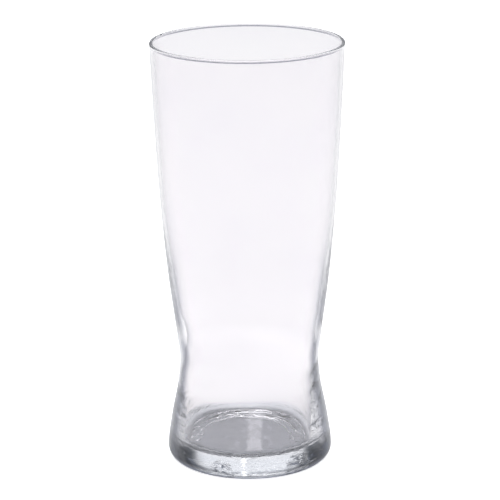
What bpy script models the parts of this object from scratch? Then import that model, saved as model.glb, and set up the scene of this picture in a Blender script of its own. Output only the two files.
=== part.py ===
"""A pint glass: one moulded piece of clear soda-lime glass, standing on Z = 0 with +Z up.

The glass is a single turned profile. It starts on the axis at the floor of the cavity, climbs
the inside wall, rolls over the rim, comes down the outside wall, round the heel and across the
flat foot, and ends on the axis at the middle of the shallow hollow under the base.
Lengths are in metres.
"""

import math

import bpy
import numpy as np

NAME = "glass_body"

# Driving dimensions
HEIGHT = 0.1773
RIM_RADIUS = 0.0397
RIM_THICKNESS = 0.0015
WAIST_HEIGHT = 0.0440
WAIST_RADIUS = 0.0290
HEEL_RADIUS = 0.0343
HEEL_ROUND = 0.0053  # radius of the round between the heel and the foot
FLOOR_HEIGHT = 0.0080  # thickness of the base, floor of the cavity to the table
FLOOR_ROUND = 0.0045  # radius of the round between the floor and the inside wall
CAVITY_RADIUS = 0.0285  # inside radius where that round ends
FOOT_INNER_RADIUS = 0.0205  # the flat foot is a ring; inside it the base is hollowed
FOOT_HOLLOW = 0.00045  # depth of that hollow
FOOT_STEP = 0.0015  # width of the slope from the foot up to the flat of the hollow

RIM_CENTRE_HEIGHT = HEIGHT - RIM_THICKNESS / 2

# Each wall is smooth through a few stations: (height, radius)
OUTSIDE = (
    (HEEL_ROUND, HEEL_RADIUS),
    (0.0177, 0.0328),
    (0.0355, 0.02955),
    (WAIST_HEIGHT, WAIST_RADIUS),
    (0.0530, 0.0300),
    (0.0798, 0.0334),
    (0.1152, 0.0365),
    (0.1505, 0.0385),
    (RIM_CENTRE_HEIGHT, RIM_RADIUS),
)
INSIDE = (
    (FLOOR_HEIGHT + FLOOR_ROUND, CAVITY_RADIUS),
    (0.0200, 0.0285),
    (0.0310, 0.0279),
    (0.0455, 0.0268),
    (0.0520, 0.0271),
    (0.0663, 0.0294),
    (0.0937, 0.0334),
    (0.1325, 0.0362),
    (RIM_CENTRE_HEIGHT, RIM_RADIUS - RIM_THICKNESS),
)

# Fineness of the mesh
TURN_STEPS = 60
WALL_STEPS = 2  # between two stations
ROUND_STEPS = 5
RIM_STEPS = 6
MERGE_DISTANCE = 0.00001

GLASS_COLOUR = (0.95, 0.955, 0.96, 1.0)
GLASS_ROUGHNESS = 0.02
GLASS_IOR = 1.52


def clear_scene():
    for thing in list(bpy.data.objects):
        bpy.data.objects.remove(thing, do_unlink=True)


def arc(centre, radius, start, end, steps):
    """(radius, height) points of an arc from one angle to another; 0 points away from the axis."""
    angles = np.linspace(math.radians(start), math.radians(end), steps + 1)
    return [(centre[0] + radius * math.cos(a), centre[1] + radius * math.sin(a)) for a in angles]


def wall(stations):
    """(radius, height) points of a smooth wall, going up, with a cubic between two stations.

    It starts out vertical, because a round ends there.
    """
    heights, radii = np.array(stations).T
    slopes = np.gradient(radii, heights)
    slopes[0] = 0.0
    points = []
    for i in range(len(heights) - 1):
        rise = heights[i + 1] - heights[i]
        for t in np.arange(WALL_STEPS) / WALL_STEPS:
            radius = (
                (2 * t**3 - 3 * t**2 + 1) * radii[i]
                + (t**3 - 2 * t**2 + t) * rise * slopes[i]
                + (3 * t**2 - 2 * t**3) * radii[i + 1]
                + (t**3 - t**2) * rise * slopes[i + 1]
            )
            points.append((radius, heights[i] + t * rise))
    return points


def glass_profile():
    floor_round = (CAVITY_RADIUS - FLOOR_ROUND, FLOOR_HEIGHT + FLOOR_ROUND)
    heel_round = (HEEL_RADIUS - HEEL_ROUND, HEEL_ROUND)
    rim = (RIM_RADIUS - RIM_THICKNESS / 2, RIM_CENTRE_HEIGHT)
    return [
        (0.0, FLOOR_HEIGHT),
        *arc(floor_round, FLOOR_ROUND, -90, 0, ROUND_STEPS)[:-1],
        *wall(INSIDE),
        *arc(rim, RIM_THICKNESS / 2, 180, 0, RIM_STEPS),
        *reversed(wall(OUTSIDE)),
        *arc(heel_round, HEEL_ROUND, 0, -90, ROUND_STEPS)[1:],
        (FOOT_INNER_RADIUS, 0.0),
        (FOOT_INNER_RADIUS - FOOT_STEP, FOOT_HOLLOW),
        (0.0, FOOT_HOLLOW),
    ]


def glass_material():
    material = bpy.data.materials.new("clear_soda_lime_glass")
    material.use_nodes = True
    shader = material.node_tree.nodes["Principled BSDF"]
    shader.inputs["Base Color"].default_value = GLASS_COLOUR
    shader.inputs["Roughness"].default_value = GLASS_ROUGHNESS
    shader.inputs["Metallic"].default_value = 0.0
    shader.inputs["IOR"].default_value = GLASS_IOR
    shader.inputs["Transmission Weight"].default_value = 1.0
    return material


def turned(name, profile, material):
    """An object whose (radius, height) profile is turned once round Z."""
    mesh = bpy.data.meshes.new(name)
    edges = [(i, i + 1) for i in range(len(profile) - 1)]
    mesh.from_pydata([(radius, 0.0, height) for radius, height in profile], edges, [])
    mesh.materials.append(material)
    piece = bpy.data.objects.new(name, mesh)
    bpy.context.collection.objects.link(piece)
    screw = piece.modifiers.new("turn", "SCREW")
    screw.axis = "Z"
    screw.angle = math.tau
    screw.steps = TURN_STEPS
    screw.render_steps = TURN_STEPS
    screw.use_merge_vertices = True
    screw.merge_threshold = MERGE_DISTANCE
    screw.use_smooth_shade = True
    return piece


def main():
    clear_scene()
    turned(NAME, glass_profile(), glass_material())


main()
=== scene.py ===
"""A pint glass of clear soda-lime glass, and a bright studio stage to see it on.

Laid out as a Blender add-on and run as a script. Lengths are in metres, +Z is up, and the
glass stands on Z = 0 with its axis on Z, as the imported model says.
"""

import math
from typing import NamedTuple

import bpy
import numpy as np
from bpy.props import FloatProperty, FloatVectorProperty, PointerProperty
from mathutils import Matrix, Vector, noise


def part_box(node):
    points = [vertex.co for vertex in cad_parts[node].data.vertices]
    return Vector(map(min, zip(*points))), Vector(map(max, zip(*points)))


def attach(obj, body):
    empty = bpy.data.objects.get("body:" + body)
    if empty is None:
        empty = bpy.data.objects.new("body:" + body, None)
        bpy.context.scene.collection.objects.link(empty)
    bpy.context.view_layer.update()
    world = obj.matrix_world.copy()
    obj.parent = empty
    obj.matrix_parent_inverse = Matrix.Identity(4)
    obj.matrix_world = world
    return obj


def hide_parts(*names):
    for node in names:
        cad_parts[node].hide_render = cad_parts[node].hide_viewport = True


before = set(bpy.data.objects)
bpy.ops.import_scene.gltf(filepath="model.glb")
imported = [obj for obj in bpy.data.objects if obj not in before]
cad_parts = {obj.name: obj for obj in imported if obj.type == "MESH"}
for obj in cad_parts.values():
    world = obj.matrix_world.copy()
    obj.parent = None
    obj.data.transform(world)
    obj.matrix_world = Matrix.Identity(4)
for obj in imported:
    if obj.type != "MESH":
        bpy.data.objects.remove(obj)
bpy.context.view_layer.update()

bl_info = {
    "name": "Pint Glass",
    "version": (1, 0, 0),
    "blender": (4, 5, 0),
    "location": "3D Viewport > Sidebar > Pint Glass",
    "description": "A turned pint glass of soda-lime glass on a bright studio stage",
    "category": "Object",
}

MM = 0.001
NODE = "glass_body"
BODY = "root"

LOW, HIGH = (Vector(corner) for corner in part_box(NODE))
HEIGHT = HIGH.z - LOW.z
RIM_RADIUS = (HIGH.x - LOW.x) / 2


def linear(hex_colour):
    """An sRGB hex colour as linear red, green and blue."""
    parts = [int(hex_colour[i : i + 2], 16) / 255 for i in (1, 3, 5)]
    return [c / 12.92 if c <= 0.04045 else ((c + 0.055) / 1.055) ** 2.4 for c in parts]


def length(name, description, default):
    """A property that holds a length in metres."""
    return FloatProperty(
        name=name, description=description, default=default, min=0.0,
        subtype="DISTANCE", unit="LENGTH", precision=5,
    )


def angle(name, description, degrees):
    """A property that holds an angle."""
    return FloatProperty(
        name=name, description=description, default=math.radians(degrees),
        subtype="ANGLE", unit="ROTATION",
    )


def colour(name, description, hex_colour):
    """A property that holds a linear colour."""
    return FloatVectorProperty(
        name=name, description=description, default=linear(hex_colour), size=3,
        subtype="COLOR", min=0.0, max=1.0,
    )


class GlassShape(bpy.types.PropertyGroup):
    """Sizes of the glass."""

    height: length("Height", "Foot to the top of the rim", HEIGHT)
    rim_radius: length("Rim radius", "Outside radius at the rim", RIM_RADIUS)
    rim_thickness: length("Rim thickness", "Thickness of the fire-polished rim", 1.5 * MM)
    waist_height: length("Waist height", "Height of the narrowest place", 44.0 * MM)
    waist_radius: length("Waist radius", "Outside radius of the narrowest place", 29.0 * MM)
    heel_radius: length("Heel radius", "Outside radius of the widest place of the base", 34.3 * MM)
    heel_round: length("Heel round", "Radius of the round between heel and foot", 5.3 * MM)
    floor_height: length("Base thickness", "Table to the floor of the cavity", 8.0 * MM)
    floor_round: length("Floor round", "Radius of the round between floor and inside wall", 4.5 * MM)
    cavity_radius: length("Cavity radius", "Inside radius just above the floor's round", 28.5 * MM)
    foot_inner_radius: length("Foot inner radius", "Inner radius of the flat ring foot", 20.5 * MM)
    foot_hollow: length("Foot hollow", "Depth of the hollow under the base", 0.45 * MM)
    foot_step: length("Foot step", "Width of the slope from the ring foot up to the hollow", 1.5 * MM)


class GlassFinish(bpy.types.PropertyGroup):
    """Look of the glass."""

    tint: colour("Tint", "Colour that light keeps where it enters or leaves the glass", "#FEFCFD")
    tint_shade: colour("Tint shade", "Tint where the glass is a trace darker", "#FCFAFC")
    base_tint: colour("Base tint", "Tint of the thick base", "#F5F7FC")
    # Painted shade: the dark colour put in the heel's patches of curls.
    curl_painted_shade: colour("Mark tint", "Tint of the curls that pressing leaves in the heel", "#595D69")
    # Painted shade: the colour of a thin dark line under the rim's bead.
    painted_bead_line: colour("Bead tint", "Tint of the thin line under the rim's bead", "#818490")
    depth_colour: colour("Depth colour", "Colour that a thick stretch of glass takes on", "#D0D3DA")
    depth_density: FloatProperty(
        name="Depth density", description="How fast a thick stretch takes on its colour",
        default=1.2, min=0.0,
    )
    ior: FloatProperty(
        name="IOR", description="Refractive index of soda-lime glass", default=1.52,
        min=1.0, max=2.0,
    )
    roughness: FloatProperty(
        name="Roughness", description="Roughness of the fire-polished surface", default=0.0,
        min=0.0, max=1.0, subtype="FACTOR",
    )


class Stage(bpy.types.PropertyGroup):
    """Floor, light and camera."""

    floor_radius: length("Floor radius", "Radius of the pale floor", 5.0)
    floor_colour: colour("Floor colour", "Colour of the matt floor", "#F7F7F7")
    floor_lift: FloatProperty(
        name="Floor lift", description="Light added to the floor where the camera sees it plainly",
        default=0.8, min=0.0,
    )
    glow_reach: length("Glow reach", "Radius over which the floor's glow fades", 200.0 * MM)
    sky_gain: FloatProperty(
        name="Sky gain", description="Strength of the light from all round", default=2.0, min=0.0,
    )
    strip_gain: FloatProperty(
        name="Strip gain", description="Strength of the bright strip in each soft box",
        default=1.7, min=0.0,
    )
    strip_turn: angle("Strip turn", "Turn of each strip from the middle of its box", 3.0)
    lamp_height: length("Lamp height", "Height of the soft box overhead", 2.2)
    lamp_size: length("Lamp size", "Side of the square soft box overhead", 2.0)
    lamp_power: FloatProperty(
        name="Lamp power", description="Power of the soft box overhead", default=21.5, min=0.0,
        unit="POWER",
    )
    camera_distance: length("Camera distance", "Camera to the glass's axis, level", 994.0 * MM)
    camera_side: length("Camera side", "Camera to the right of the glass's axis", 0.6 * MM)
    camera_height: length("Camera height", "Camera above the floor", 373.0 * MM)
    camera_pitch: angle("Camera pitch", "How far the camera looks down", 15.92)
    camera_roll: angle("Camera roll", "How far the camera leans to its side", 0.4)
    lens: FloatProperty(
        name="Lens", description="Focal length on a 36 mm sensor", default=180.0, unit="CAMERA",
    )


# Outline of the glass ------------------------------------------------------------------------

WALL_STEP = 0.75 * MM
WALL_LEAST_STEPS = 2
FLAT_STEP = 0.6 * MM
ROUND_STEPS = 24
RIM_STEPS = 16


def arc(centre, radius, start, end, steps):
    """(radius, height) points of an arc between two angles; 0 degrees points off the axis."""
    angles = np.linspace(math.radians(start), math.radians(end), steps + 1)
    return [(centre[0] + radius * math.cos(a), centre[1] + radius * math.sin(a)) for a in angles]


def wall(stations):
    """(radius, height) points of a smooth wall, going up, with a cubic between two stations."""
    heights, radii = np.array(stations).T
    slopes = np.gradient(radii, heights)
    slopes[0] = 0.0
    points = []
    for i in range(len(heights) - 1):
        climb = heights[i + 1] - heights[i]
        steps = max(WALL_LEAST_STEPS, round(climb / WALL_STEP))
        for t in np.arange(steps) / steps:
            radius = (
                (2 * t**3 - 3 * t**2 + 1) * radii[i]
                + (t**3 - 2 * t**2 + t) * climb * slopes[i]
                + (3 * t**2 - 2 * t**3) * radii[i + 1]
                + (t**3 - t**2) * climb * slopes[i + 1]
            )
            points.append((radius, heights[i] + t * climb))
    return points


def glass_outline(shape):
    """The outline in four zones of (radius, height) points, without its two ends on the axis.

    It runs from the middle of the cavity's floor up the inside, over the rim, down the outside
    and in to the middle of the foot. The foot is flat here: uneven_foot gives it its hollow.
    """
    rim_height = shape.height - shape.rim_thickness / 2
    outside = (
        (shape.heel_round, shape.heel_radius),
        (17.7 * MM, 32.8 * MM),
        (35.5 * MM, 29.55 * MM),
        (shape.waist_height, shape.waist_radius),
        (53.0 * MM, 30.0 * MM),
        (79.8 * MM, 33.4 * MM),
        (115.2 * MM, 36.5 * MM),
        (150.5 * MM, 38.5 * MM),
        (rim_height, shape.rim_radius),
    )
    inside = (
        (shape.floor_height + shape.floor_round, shape.cavity_radius),
        (20.0 * MM, 28.5 * MM),
        (31.0 * MM, 27.9 * MM),
        (45.5 * MM, 26.8 * MM),
        (52.0 * MM, 27.1 * MM),
        (66.3 * MM, 29.4 * MM),
        (93.7 * MM, 33.4 * MM),
        (132.5 * MM, 36.2 * MM),
        (rim_height, shape.rim_radius - shape.rim_thickness),
    )
    floor_edge = shape.cavity_radius - shape.floor_round
    foot_edge = shape.heel_radius - shape.heel_round
    floor_round = (floor_edge, shape.floor_height + shape.floor_round)
    heel_round = (foot_edge, shape.heel_round)
    rim = (shape.rim_radius - shape.rim_thickness / 2, rim_height)
    floor = [(radius, shape.floor_height) for radius in np.arange(0, floor_edge, FLAT_STEP)]
    foot = [(radius, 0.0) for radius in np.arange(foot_edge, 0, -FLAT_STEP)]
    return {
        "cavity": [
            *floor[1:],
            *arc(floor_round, shape.floor_round, -90, 0, ROUND_STEPS)[:-1],
            *wall(inside),
        ],
        "rim": arc(rim, shape.rim_thickness / 2, 180, 0, RIM_STEPS),
        "outer": [
            *reversed(wall(outside)),
            *arc(heel_round, shape.heel_round, 0, -90, ROUND_STEPS)[1:],
        ],
        "foot": foot[1:],
    }


# Small faults of pressed and blown glass -----------------------------------------------------


class Wave(NamedTuple):
    """A wave pressed into the glass: streaks drawn out round Z, with a finer grain on them."""

    depth: float
    turn: float  # reach of a streak round Z, in radians
    width: float
    seed: float
    grain: float  # share of the grain
    grain_size: float
    grain_seed: float


# The cavity isn't centred: it leans one way below the waist and a little the other way above.
LOW_SHIFT = -0.9 * MM
LOW_FADE = (30.0 * MM, 44.0 * MM)  # heights
HIGH_SHIFT = 0.35 * MM
HIGH_RISE = (36.0 * MM, 46.0 * MM)  # heights
HIGH_FADE = (50.0 * MM, 70.0 * MM)  # heights
SHIFT_RADIUS = 20.0 * MM  # the shift is smaller inside this radius

# The inside wall is streaked above the base on the two sides of the glass that lie along X.
WALL_WAVE = Wave(
    depth=0.2 * MM, turn=0.5, width=2.4 * MM, seed=3.0,
    grain=0.4, grain_size=2.8 * MM, grain_seed=7.0,
)
WALL_RISE = (10.0 * MM, 13.0 * MM)  # heights
WALL_FADE = (18.0 * MM, 34.0 * MM)  # heights
WALL_SIDES = (0.82, 0.96)  # shares of the radius that lie along X

# The round between the cavity's floor and wall is streaked all the way round.
FLOOR_WAVE = Wave(
    depth=0.25 * MM, turn=0.3, width=1.6 * MM, seed=9.0,
    grain=0.5, grain_size=2.4 * MM, grain_seed=7.0,
)
FLOOR_RISE = (19.0 * MM, 23.0 * MM)  # radii
FLOOR_FADE = (10.0 * MM, 14.0 * MM)  # heights

# Fire polishing has left one small nick in the rim.
NICK_TURN = math.radians(157.4)
NICK_WIDTH = 0.9 * MM
NICK_DEPTH = 0.35 * MM

# The hollow under the base is a little off the axis, its edge wavers and its slope isn't even.
HOLLOW_SHIFT = -1.5 * MM
HOLLOW_WAVER = 2.0 * MM
WAVER_TURN = 0.45
WAVER_SEED = 2.0
SLOPE_MIDDLE = 0.75
SLOPE_SPREAD = 0.5
SLOPE_TURN = 0.6
SLOPE_SEED = 6.0

# The ring foot lifts off the table in streaks, where its wave is above a level. Its outer edge
# stays flat.
FOOT_WAVE = Wave(
    depth=0.35 * MM, turn=0.3, width=1.3 * MM, seed=11.0,
    grain=0.4, grain_size=2.2 * MM, grain_seed=5.0,
)
FOOT_LEVEL = -0.3
FOOT_EDGE = (27.0 * MM, 29.0 * MM)  # radii

# The hollow's own surface is faintly uneven.
HOLLOW_DEPTH = 0.06 * MM
HOLLOW_SIZE = 5.5 * MM
HOLLOW_SEED = 11.0
HOLLOW_GRAIN = 0.4
HOLLOW_GRAIN_SIZE = 2.5 * MM
HOLLOW_GRAIN_SEED = 5.0

ON_AXIS = 0.001 * MM  # the least radius that anything is divided by
STREAK_CORE = 1.0 * MM  # streaks don't narrow further inside this radius


def ripple(x, y, z, size, seed):
    """Smooth noise from about -1 to 1 with waves of a size, at each point of three arrays."""
    points = np.stack([x, y, z], axis=-1).reshape(-1, 3) / size + seed
    return np.array([noise.noise(p) for p in points]).reshape(np.shape(x))


def pressed(wave, x, y, z, across):
    """Height of a wave, from about -1 to 1; the streaks lie one beside another along across."""
    radius = np.maximum(np.hypot(x, y), STREAK_CORE)
    turn_x, turn_y = x / radius / wave.turn, y / radius / wave.turn
    streaks = ripple(turn_x, turn_y, across / wave.width, 1.0, wave.seed)
    return streaks + wave.grain * ripple(x, y, z, wave.grain_size, wave.grain_seed)


def rise(value, low, high):
    """0 at low, 1 at high, and smooth between; low may be the larger."""
    t = np.clip((value - low) / (high - low), 0.0, 1.0)
    return t * t * (3.0 - 2.0 * t)


def fade(value, low, high):
    """1 at low and 0 at high."""
    return 1.0 - rise(value, low, high)


def uneven_cavity(x, y, z, shape):
    """The cavity's points, shifted sideways, with a streaked wall and floor."""
    radius = np.maximum(np.hypot(x, y), ON_AXIS)
    high = rise(z, *HIGH_RISE) * fade(z, *HIGH_FADE)
    shift = LOW_SHIFT * fade(z, *LOW_FADE) + HIGH_SHIFT * high
    x = x + shift * np.minimum(1.0, radius / SHIFT_RADIUS)
    swell = WALL_WAVE.depth * pressed(WALL_WAVE, x, y, z, z) * fade(z, *WALL_FADE)
    swell = swell * rise(z, *WALL_RISE) * rise(np.abs(x) / radius, *WALL_SIDES)
    x, y = x * (1.0 + swell / radius), y * (1.0 + swell / radius)
    wavy = rise(radius, *FLOOR_RISE) * fade(z, *FLOOR_FADE)
    return x, y, z + FLOOR_WAVE.depth * pressed(FLOOR_WAVE, x, y, z, radius) * wavy


def nicked_rim(x, y, z, shape):
    """The rim's points, with the nick, which is deepest at the top of the rim."""
    along = shape.rim_radius * (np.arctan2(y, x) - NICK_TURN)
    lift = (z - shape.height + shape.rim_thickness / 2) / (shape.rim_thickness / 2)
    return x, y, z - NICK_DEPTH * lift * np.exp(-((along / NICK_WIDTH) ** 2))


def uneven_foot(x, y, z, shape):
    """The foot's points, with the hollow, its wavering edge, and the waves beside and in it."""
    radius = np.maximum(np.hypot(x, y), ON_AXIS)
    turn = (x / radius, y / radius, 0.0 * z)
    edge = shape.foot_inner_radius + HOLLOW_WAVER * ripple(*turn, WAVER_TURN, WAVER_SEED)
    slope = SLOPE_MIDDLE + SLOPE_SPREAD * ripple(*turn, SLOPE_TURN, SLOPE_SEED)
    top = edge - shape.foot_step * slope
    reach = np.hypot(x - HOLLOW_SHIFT, y)
    flat = fade(radius, *FOOT_EDGE)
    ring = rise(reach, top, edge) * flat
    z = shape.foot_hollow * rise(reach, edge, top)
    wave = pressed(FOOT_WAVE, x, y, z, radius)
    z = z + FOOT_WAVE.depth * ring * np.maximum(0.0, wave - FOOT_LEVEL)
    wave = ripple(x, y, z, HOLLOW_SIZE, HOLLOW_SEED)
    wave = wave + HOLLOW_GRAIN * ripple(x, y, z, HOLLOW_GRAIN_SIZE, HOLLOW_GRAIN_SEED)
    return x, y, np.maximum(0.0, z + HOLLOW_DEPTH * (flat - ring) * wave)


# Mesh of the glass ---------------------------------------------------------------------------

TURN_STEPS = 384
OUTER_WALL = "outer_wall"  # a point attribute: 1 on the outside wall and heel, 0 elsewhere
FAULTS = {"cavity": uneven_cavity, "rim": nicked_rim, "foot": uneven_foot}


def turned(name, shape):
    """A closed mesh object: the outline turned round Z, with one point at each end on the axis."""
    turns = np.arange(TURN_STEPS) * math.tau / TURN_STEPS
    rings = []
    outer_wall = []
    for zone, outline in glass_outline(shape).items():
        radii, heights = np.array(outline).T
        x = np.outer(radii, np.cos(turns))
        y = np.outer(radii, np.sin(turns))
        z = np.outer(heights, np.ones(TURN_STEPS))
        if zone in FAULTS:
            x, y, z = FAULTS[zone](x, y, z, shape)
        rings.append(np.stack([x, y, z], axis=-1).reshape(-1, 3))
        outer_wall.append(np.full(x.size, float(zone == "outer")))
    rings = np.concatenate(rings)
    top, bottom = len(rings), len(rings) + 1
    vertices = [*rings.tolist(), (0.0, 0.0, shape.floor_height), (0.0, 0.0, shape.foot_hollow)]
    last = len(rings) // TURN_STEPS - 1
    faces = []
    for j in range(TURN_STEPS):
        k = (j + 1) % TURN_STEPS
        faces.append((top, j, k))
        faces.append((bottom, last * TURN_STEPS + k, last * TURN_STEPS + j))
        for i in range(last):
            a, b = i * TURN_STEPS, (i + 1) * TURN_STEPS
            faces.append((a + j, b + j, b + k, a + k))
    mesh = bpy.data.meshes.new(name)
    mesh.from_pydata(vertices, [], faces)
    mesh.shade_smooth()
    values = mesh.attributes.new(OUTER_WALL, "FLOAT", "POINT")
    values.data.foreach_set("value", [*np.concatenate(outer_wall), 0.0, 0.0])
    piece = bpy.data.objects.new(name, mesh)
    bpy.context.scene.collection.objects.link(piece)
    return piece


# Nodes ---------------------------------------------------------------------------------------


def add_node(tree, kind, settings, *values, stops=(), **named):
    """A node with its settings, its ramp's stops and its inputs.

    Plain values fill the inputs in use, in order, and named ones go by the input's name. Each
    is a value, a socket to link from, or a node, which stands for its first output in use. A
    stop is a place from 0 to 1 with a grey level or an sRGB hex colour.
    """
    node = tree.nodes.new(kind)
    for key, value in settings.items():
        setattr(node, key, value)
    if stops:
        elements = node.color_ramp.elements
        while len(elements) < len(stops):
            elements.new(1.0)
        for element, (place, level) in zip(elements, stops):
            element.position = place
            element.color = (*(linear(level) if isinstance(level, str) else [level] * 3), 1.0)
    inputs = [*zip([socket for socket in node.inputs if socket.enabled], values)]
    inputs += [(node.inputs[key.replace("_", " ")], value) for key, value in named.items()]
    for socket, value in inputs:
        if isinstance(value, bpy.types.Node):
            value = next(output for output in value.outputs if output.enabled)
        if isinstance(value, bpy.types.NodeSocket):
            tree.links.new(value, socket)
        else:
            socket.default_value = value
    return node


def new_material(name):
    """An empty material."""
    material = bpy.data.materials.new(name)
    material.use_nodes = True
    material.node_tree.nodes.clear()
    return material


SMOOTH = {"interpolation_type": "SMOOTHSTEP"}
MULTIPLY = {"operation": "MULTIPLY"}
SUBTRACT = {"operation": "SUBTRACT"}
MAXIMUM = {"operation": "MAXIMUM"}
MIX = {"data_type": "RGBA"}
TINT = {"data_type": "RGBA", "blend_type": "MULTIPLY"}
WHITE = (1.0, 1.0, 1.0, 1.0)


# Glass ---------------------------------------------------------------------------------------


class PaintedWallShade(NamedTuple):
    """A ramp of painted shade over the facing angle for one stretch of the inside or the outside
    wall.
    """

    outside: bool
    start: tuple  # heights over which it comes in, None where it starts at the foot
    end: tuple  # heights over which it goes out
    stops: tuple


# Painted shade: share of light that a crossing of the surface keeps, by the facing angle: 0 is seen
# straight on and 1 is grazed. Grazed glass is painted dark, as if dark cards stood beside the set.
EDGE_STOPS = (
    (0.0, 1.0), (0.45, 1.0), (0.57, 0.97), (0.65, 0.94), (0.76, 0.86), (0.85, 0.7),
    (0.95, "#9B9EA6"), (1.0, "#4B4D59"),
)
# Painted shade, by the facing angle, for the inside wall and for the outside wall at, above and below
# the waist.
INSIDE = PaintedWallShade(False, None, (65.0 * MM, 120.0 * MM), (
    (0.0, 1.0), (0.45, 1.0), (0.6, 0.88), (0.7, "#D1D3D8"), (0.79, "#9799A2"), (0.87, "#4B4D59"),
    (0.93, 0.0), (1.0, 0.0),
))
WAIST = PaintedWallShade(True, None, (52.0 * MM, 62.0 * MM), (
    (0.0, 1.0), (0.52, 1.0), (0.58, "#AFB1BA"), (0.64, "#696C79"), (0.72, "#767986"),
    (0.8, "#C5C8D1"), (0.88, "#DADDE5"), (1.0, "#B3B5BC"),
))
ABOVE_WAIST = PaintedWallShade(True, (52.0 * MM, 62.0 * MM), (68.0 * MM, 98.0 * MM), (
    (0.0, 1.0), (0.56, 1.0), (0.63, "#AAACB5"), (0.7, "#50525D"), (0.9, "#4B4D59"),
    (1.0, "#3F4250"),
))
BELOW_WAIST = PaintedWallShade(True, None, (28.0 * MM, 42.0 * MM), (
    (0.0, 1.0), (0.48, 1.0), (0.55, "#BCBDC5"), (0.62, "#656976"), (0.75, "#595D6C"),
    (1.0, "#3F4250"),
))
# Painted shade: the heel goes nearly black where it is grazed.
HEEL = PaintedWallShade(True, (1.5 * MM, 4.5 * MM), (9.0 * MM, 15.0 * MM), (
    (0.0, 1.0), (0.18, 0.95), (0.24, 0.6), (0.28, 0.2), (0.33, "#30353F"), (0.4, "#070A16"),
    (1.0, "#000312"),
))
PAINTED_WALL_SHADES = (INSIDE, WAIST, ABOVE_WAIST, BELOW_WAIST)

DRAWN_OUT = (0.6, 0.6, 1.6)  # makes noise wider and flatter, as pressed glass flows

# The heel's painted shade is a little patchy.
PATCH_SIZE = 6.0 * MM
PATCH_NOISE = (0.4, 0.5)
PATCH_LEAST = 0.94

# The painted edge shade goes out below the top of the rim, and a thin line of painted shade is drawn
# where the rim's bead meets the wall. The line is fainter where the rim is grazed.
RIM_CLEAR = (5.0 * MM, 0.8 * MM)
BEAD_DEPTH = 1.15 * MM
BEAD_LINE = (0.05 * MM, 0.35 * MM)
BEAD_FACING = (0.3, 0.65)
BEAD_LEAST = 0.25

# The body's tint drifts slowly, and the thick base has its own.
CLOUD_SIZE = 26.0 * MM
CLOUD_NOISE = (0.35, 0.65)
BASE_FADE = (8.5 * MM, 12.0 * MM)  # heights

# The whole surface waves faintly.
PEEL_SIZE = 7.0 * MM
PEEL_DEPTH = 0.012 * MM  # a little deeper than real, so that it shows

# Pressing leaves curls in the heel, most of them in patches, where painted shade also darkens them.
MARK_SIZE = 2.2 * MM
MARK_DEPTH = 1.6 * MM  # many times deeper than real, so that the curls show
MARK_NOISE = (0.52, 0.6)
MARK_CORE = 0.4  # share of a patch's reach that has curls at full strength
FAINT_MARKS = 0.12  # strength of the curls in the rest of the heel
MARKS = (  # centre and reach of each patch of curls
    ((-11.5 * MM, -31.5 * MM, 4.0 * MM), 6.0 * MM),
    ((19.5 * MM, -27.5 * MM, 5.0 * MM), 7.0 * MM),
)


def band(tree, height, share, tint):
    """A share that comes in and goes out over the heights of a stretch of painted wall shade."""
    for limits, ends in ((tint.start, (0.0, 1.0)), (tint.end, (1.0, 0.0))):
        if limits:
            step = add_node(
                tree, "ShaderNodeMapRange", SMOOTH, Value=height,
                From_Min=limits[0], From_Max=limits[1], To_Min=ends[0], To_Max=ends[1],
            )
            share = add_node(tree, "ShaderNodeMath", MULTIPLY, share, step)
    return share


def wall_painted_shades(tree, facing, up, drawn):
    """Painted shade at the walls' edges, and how much of the heel's painted shade there is."""
    outer = add_node(tree, "ShaderNodeAttribute", {"attribute_name": OUTER_WALL}).outputs["Fac"]
    inner = add_node(tree, "ShaderNodeMath", SUBTRACT, 1.0, outer)
    slow = add_node(
        tree, "ShaderNodeTexNoise", {}, Vector=drawn, Scale=1.0 / PATCH_SIZE, Detail=2.0,
        Distortion=1.0,
    )
    patchy = add_node(
        tree, "ShaderNodeMapRange", {}, Value=slow,
        From_Min=PATCH_NOISE[0], From_Max=PATCH_NOISE[1], To_Min=PATCH_LEAST, To_Max=1.0,
    )
    shares = [band(tree, up, outer if tint.outside else inner, tint) for tint in PAINTED_WALL_SHADES]
    heel = add_node(tree, "ShaderNodeMath", MULTIPLY, band(tree, up, outer, HEEL), patchy)
    edge = add_node(tree, "ShaderNodeValToRGB", {}, facing, stops=EDGE_STOPS)
    for tint, share in zip((*PAINTED_WALL_SHADES, HEEL), (*shares, heel)):
        dark = add_node(tree, "ShaderNodeValToRGB", {}, facing, stops=tint.stops)
        edge = add_node(tree, "ShaderNodeMix", MIX, share, edge, dark)
    return edge, heel


def rim_painted_shade(tree, facing, up, edge, painted_bead_line):
    """The walls' painted edge shade, gone at the rim, with a thin line of painted shade under the
    rim's bead.
    """
    clear = add_node(
        tree, "ShaderNodeMapRange", SMOOTH, Value=up,
        From_Min=HEIGHT - RIM_CLEAR[0], From_Max=HEIGHT - RIM_CLEAR[1], To_Min=0.0, To_Max=1.0,
    )
    edge = add_node(tree, "ShaderNodeMix", MIX, clear, edge, WHITE)
    below = add_node(tree, "ShaderNodeMath", SUBTRACT, up, HEIGHT - BEAD_DEPTH)
    away = add_node(tree, "ShaderNodeMath", {"operation": "ABSOLUTE"}, below)
    bead = add_node(
        tree, "ShaderNodeMapRange", SMOOTH, Value=away,
        From_Min=BEAD_LINE[0], From_Max=BEAD_LINE[1], To_Min=1.0, To_Max=0.0,
    )
    front = add_node(
        tree, "ShaderNodeMapRange", SMOOTH, Value=facing,
        From_Min=BEAD_FACING[0], From_Max=BEAD_FACING[1], To_Min=1.0, To_Max=BEAD_LEAST,
    )
    line = add_node(tree, "ShaderNodeMath", MULTIPLY, bead, front)
    return add_node(tree, "ShaderNodeMix", TINT, line, edge, (*painted_bead_line, 1.0))


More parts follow.
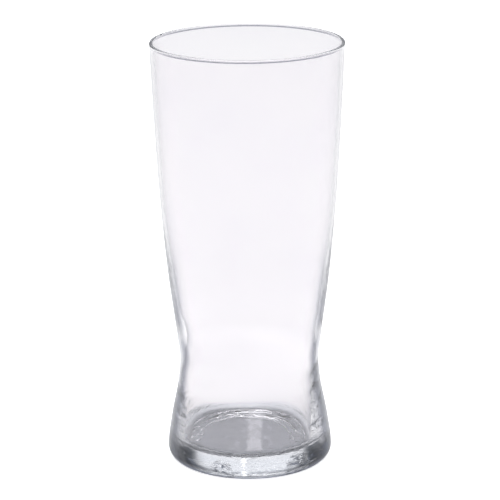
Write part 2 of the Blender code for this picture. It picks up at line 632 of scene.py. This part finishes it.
def body_tint(tree, place, up, finish):
    """The glass's own tint: a trace cloudy, and cooler in the thick base."""
    noise_level = add_node(
        tree, "ShaderNodeTexNoise", {}, Vector=place, Scale=1.0 / CLOUD_SIZE, Detail=2.0,
    )
    cloud = add_node(
        tree, "ShaderNodeMapRange", {}, Value=noise_level,
        From_Min=CLOUD_NOISE[0], From_Max=CLOUD_NOISE[1], To_Min=0.0, To_Max=1.0,
    )
    body = add_node(
        tree, "ShaderNodeMix", MIX, cloud, (*finish.tint, 1.0), (*finish.tint_shade, 1.0),
    )
    base = add_node(
        tree, "ShaderNodeMapRange", SMOOTH, Value=up,
        From_Min=BASE_FADE[0], From_Max=BASE_FADE[1], To_Min=1.0, To_Max=0.0,
    )
    return add_node(tree, "ShaderNodeMix", MIX, base, body, (*finish.base_tint, 1.0))


def mark_patches(tree, place):
    """1 in each patch of curls and 0 outside them."""
    patches = None
    for centre, reach in MARKS:
        away = add_node(tree, "ShaderNodeVectorMath", {"operation": "DISTANCE"}, place, centre)
        patch = add_node(
            tree, "ShaderNodeMapRange", SMOOTH, Value=away,
            From_Min=MARK_CORE * reach, From_Max=reach, To_Min=1.0, To_Max=0.0,
        )
        if patches:
            patch = add_node(tree, "ShaderNodeMath", MAXIMUM, patches, patch)
        patches = patch
    return patches


def surface_bump(tree, place, curls, patches, heel):
    """The faint waviness of the whole surface, and the marks that pressing leaves in the heel."""
    peel = add_node(
        tree, "ShaderNodeTexNoise", {}, Vector=place, Scale=1.0 / PEEL_SIZE, Detail=1.0,
    )
    waviness = add_node(
        tree, "ShaderNodeBump", {}, Strength=1.0, Distance=PEEL_DEPTH, Height=peel,
    )
    faint = add_node(tree, "ShaderNodeMath", MULTIPLY, heel, FAINT_MARKS)
    marked = add_node(tree, "ShaderNodeMath", MAXIMUM, patches, faint)
    height = add_node(tree, "ShaderNodeMath", MULTIPLY, curls, marked)
    return add_node(
        tree, "ShaderNodeBump", {}, Strength=1.0, Distance=MARK_DEPTH, Height=height,
        Normal=waviness,
    )


def glass_material(finish):
    """Clear soda-lime glass, pressed and blown in a mould, then fire-polished.

    Fire polishing leaves it as smooth as a liquid, so it has no roughness: the eye gets sharp
    highlights and a sharp, bent view through it. Painted shade darkens the wall towards its edges and
    draws a thin line under the rim's bead, the thick base is faintly cool, and the heel has the
    curled marks that pressing leaves, darkened in patches by painted shade.
    """
    material = new_material("soda_lime_glass_fire_polished")
    tree = material.node_tree
    place = add_node(tree, "ShaderNodeTexCoord", {}).outputs["Object"]
    facing = add_node(tree, "ShaderNodeLayerWeight", {}, Blend=0.5).outputs["Facing"]
    up = add_node(tree, "ShaderNodeSeparateXYZ", {}, place).outputs["Z"]
    drawn = add_node(tree, "ShaderNodeVectorMath", MULTIPLY, place, DRAWN_OUT)
    curls = add_node(
        tree, "ShaderNodeTexNoise", {}, Vector=drawn, Scale=1.0 / MARK_SIZE, Detail=1.0,
        Distortion=0.6,
    )
    edge, heel = wall_painted_shades(tree, facing, up, drawn)
    edge = rim_painted_shade(tree, facing, up, edge, finish.painted_bead_line)
    patches = mark_patches(tree, place)
    # Painted shade: the patches of curls are darkened in the colour, on top of their bump.
    dark = add_node(
        tree, "ShaderNodeMapRange", {}, Value=curls,
        From_Min=MARK_NOISE[0], From_Max=MARK_NOISE[1], To_Min=0.0, To_Max=1.0,
    )
    dark = add_node(tree, "ShaderNodeMath", MULTIPLY, dark, patches)
    edge = add_node(tree, "ShaderNodeMix", TINT, dark, edge, (*finish.curl_painted_shade, 1.0))
    body = body_tint(tree, place, up, finish)
    # The colour is the glass's own tint times the painted shade of the edges, the bead's line and the
    # curls.
    shader = add_node(
        tree, "ShaderNodeBsdfPrincipled", {},
        Base_Color=add_node(tree, "ShaderNodeMix", TINT, 1.0, body, edge),
        Roughness=finish.roughness, IOR=finish.ior, Transmission_Weight=1.0,
        Normal=surface_bump(tree, place, curls, patches, heel),
    )
    depth = add_node(
        tree, "ShaderNodeVolumeAbsorption", {},
        Color=(*finish.depth_colour, 1.0), Density=finish.depth_density,
    )
    add_node(tree, "ShaderNodeOutputMaterial", {}, Surface=shader, Volume=depth)
    return material


# Floor and light -----------------------------------------------------------------------------

FLOOR_SIDES = 128
GLOW_STOPS = (
    (0.0, 0.0), (0.17, 0.0), (0.2, 0.25), (0.3, 0.32), (0.35, 0.35), (0.45, 0.3), (0.7, 0.25),
    (1.0, 0.2),
)

# Light from all round, by height: 0 is level or below and 1 is straight up.
PLAIN_STOPS = (
    (0.0, 0.46), (0.05, 0.42), (0.12, "#454950"), (0.8, "#454950"), (0.93, 0.35), (1.0, 0.4),
)
BOX_STOPS = (
    (0.0, 0.0), (0.15, 0.0), (0.24, 0.38), (0.55, 0.4), (0.66, 0.1), (0.8, 0.0), (1.0, 0.0),
)

# Soft boxes stand round the glass, each with a strip in it. A limit is the cosine of the
# number of boxes times an angle off the middle, so it is 1 at each middle. A box goes dark
# from 29 to 41 degrees off its middle, and a strip from 0.64 to 1.5 degrees off its own.
BOXES = 4.0
BOX_LIMITS = (math.cos(BOXES * math.radians(41.0)), math.cos(BOXES * math.radians(29.0)))
STRIP_LIMITS = (0.9945, 0.999)

SENSOR_WIDTH = 36.0
LIGHT_BOUNCES = 240  # light is guided round inside the wall, which is black with fewer


def floor_material(stage):
    """White board, matt painted: an even, pale floor with no highlight.

    It glows a little, most in a ring round the foot, and more where the camera sees it plainly:
    that keeps it near white while the glass still has something darker to bend.
    """
    material = new_material("matt_white_board")
    tree = material.node_tree
    seen = add_node(tree, "ShaderNodeLightPath", {}).outputs["Is Camera Ray"]
    place = add_node(tree, "ShaderNodeTexCoord", {}).outputs["Object"]
    away = add_node(tree, "ShaderNodeVectorMath", {"operation": "LENGTH"}, place)
    share = add_node(tree, "ShaderNodeMath", {"operation": "DIVIDE"}, away, stage.glow_reach)
    glow = add_node(tree, "ShaderNodeValToRGB", {}, share, stops=GLOW_STOPS)
    lift = add_node(
        tree, "ShaderNodeMath", {"operation": "MULTIPLY_ADD"}, seen, stage.floor_lift, glow,
    )
    shader = add_node(
        tree, "ShaderNodeBsdfPrincipled", {},
        Base_Color=(*stage.floor_colour, 1.0), Roughness=1.0, Specular_IOR_Level=0.0,
        Emission_Color=WHITE, Emission_Strength=lift,
    )
    add_node(tree, "ShaderNodeOutputMaterial", {}, Surface=shader)
    return material


def studio_world(stage):
    """Soft boxes round the glass, each with a bright strip; the camera itself sees plain white."""
    world = bpy.data.worlds.new("studio")
    world.use_nodes = True
    tree = world.node_tree
    tree.nodes.clear()
    way = add_node(tree, "ShaderNodeTexCoord", {}).outputs["Generated"]
    parts = add_node(tree, "ShaderNodeSeparateXYZ", {}, way).outputs
    turn = add_node(
        tree, "ShaderNodeMath", {"operation": "ARCTAN2"}, parts["X"], parts["Y"],
    )
    turns = add_node(tree, "ShaderNodeMath", MULTIPLY, turn, BOXES)
    middle = add_node(tree, "ShaderNodeMath", {"operation": "COSINE"}, turns)
    box = add_node(
        tree, "ShaderNodeMapRange", SMOOTH, Value=middle,
        From_Min=BOX_LIMITS[0], From_Max=BOX_LIMITS[1], To_Min=0.0, To_Max=1.0,
    )
    turns = add_node(tree, "ShaderNodeMath", SUBTRACT, turns, BOXES * stage.strip_turn)
    middle = add_node(tree, "ShaderNodeMath", {"operation": "COSINE"}, turns)
    strip = add_node(
        tree, "ShaderNodeMapRange", SMOOTH, Value=middle,
        From_Min=STRIP_LIMITS[0], From_Max=STRIP_LIMITS[1], To_Min=0.0, To_Max=stage.strip_gain,
    )
    both = add_node(tree, "ShaderNodeMath", {"operation": "ADD"}, box, strip)
    plain = add_node(tree, "ShaderNodeValToRGB", {}, parts["Z"], stops=PLAIN_STOPS)
    boxes = add_node(tree, "ShaderNodeValToRGB", {}, parts["Z"], stops=BOX_STOPS)
    lit = add_node(tree, "ShaderNodeMath", MULTIPLY, boxes, both)
    light = add_node(
        tree, "ShaderNodeMix", {"data_type": "RGBA", "blend_type": "ADD"}, 1.0, plain, lit,
    )
    seen = add_node(tree, "ShaderNodeLightPath", {}).outputs["Is Camera Ray"]
    shown = add_node(tree, "ShaderNodeMix", MIX, seen, light, WHITE)
    sky = add_node(tree, "ShaderNodeBackground", {}, Color=shown, Strength=stage.sky_gain)
    add_node(tree, "ShaderNodeOutputWorld", {}, Surface=sky)
    return world


def add_lamp(stage):
    """A square soft box overhead, facing down."""
    light = bpy.data.lights.new("soft_box_above", "AREA")
    light.shape = "RECTANGLE"
    light.size = stage.lamp_size
    light.size_y = stage.lamp_size
    light.energy = stage.lamp_power
    lamp = bpy.data.objects.new("soft_box_above", light)
    lamp.location = (0.0, 0.0, stage.lamp_height)
    bpy.context.scene.collection.objects.link(lamp)


def add_camera(stage):
    """A long lens in front of the glass, looking down a little."""
    data = bpy.data.cameras.new("camera")
    data.lens = stage.lens
    data.sensor_width = SENSOR_WIDTH
    camera = bpy.data.objects.new("camera", data)
    camera.location = (stage.camera_side, -stage.camera_distance, stage.camera_height)
    camera.rotation_euler = (math.radians(90) - stage.camera_pitch, 0.0, 0.0)
    camera.rotation_euler.rotate_axis("Z", -stage.camera_roll)
    bpy.context.scene.collection.objects.link(camera)
    return camera


# Operators -----------------------------------------------------------------------------------


class PINT_OT_stage(bpy.types.Operator):
    """Set up the floor, the light and the camera"""

    bl_idname = "pint_glass.stage"
    bl_label = "Stage"

    def execute(self, context):
        scene = context.scene
        stage = scene.pint_glass_stage
        bpy.ops.mesh.primitive_circle_add(
            vertices=FLOOR_SIDES, radius=stage.floor_radius, fill_type="TRIFAN",
        )
        floor = context.object
        floor.name = "floor"
        floor.data.materials.append(floor_material(stage))
        scene.world = studio_world(stage)
        add_lamp(stage)
        scene.camera = add_camera(stage)
        scene.view_settings.view_transform = "Standard"
        scene.cycles.max_bounces = LIGHT_BOUNCES
        scene.cycles.glossy_bounces = LIGHT_BOUNCES
        scene.cycles.transmission_bounces = LIGHT_BOUNCES
        return {"FINISHED"}


class PINT_OT_glass_body(bpy.types.Operator):
    """Turn the glass and give it its finish"""

    bl_idname = "pint_glass.glass_body"
    bl_label = "Glass Body"

    def execute(self, context):
        scene = context.scene
        piece = turned("glass_body_turned", scene.pint_glass_shape)
        piece.data.materials.append(glass_material(scene.pint_glass_finish))
        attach(piece, BODY)
        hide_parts(NODE)
        return {"FINISHED"}


class PINT_PT_panel(bpy.types.Panel):
    """Lists the steps that build the glass and its stage, and their sizes and colours"""

    bl_label = "Pint Glass"
    bl_idname = "PINT_PT_panel"
    bl_space_type = "VIEW_3D"
    bl_region_type = "UI"
    bl_category = "Pint Glass"

    def draw(self, context):
        for step in STEPS:
            self.layout.operator(step.bl_idname)
        for name in GROUPS:
            group = getattr(context.scene, name)
            box = self.layout.box()
            for field in group.bl_rna.properties:
                if field.identifier not in ("rna_type", "name"):
                    box.prop(group, field.identifier)


STEPS = (PINT_OT_stage, PINT_OT_glass_body)
GROUPS = {
    "pint_glass_shape": GlassShape,
    "pint_glass_finish": GlassFinish,
    "pint_glass_stage": Stage,
}


def register():
    for cls in (*GROUPS.values(), *STEPS, PINT_PT_panel):
        bpy.utils.register_class(cls)
    for name, group in GROUPS.items():
        setattr(bpy.types.Scene, name, PointerProperty(type=group))


def unregister():
    for name in GROUPS:
        delattr(bpy.types.Scene, name)
    for cls in reversed((*GROUPS.values(), *STEPS, PINT_PT_panel)):
        bpy.utils.unregister_class(cls)


def main():
    register()
    bpy.ops.pint_glass.stage()
    bpy.ops.pint_glass.glass_body()


if __name__ == "__main__":
    main()
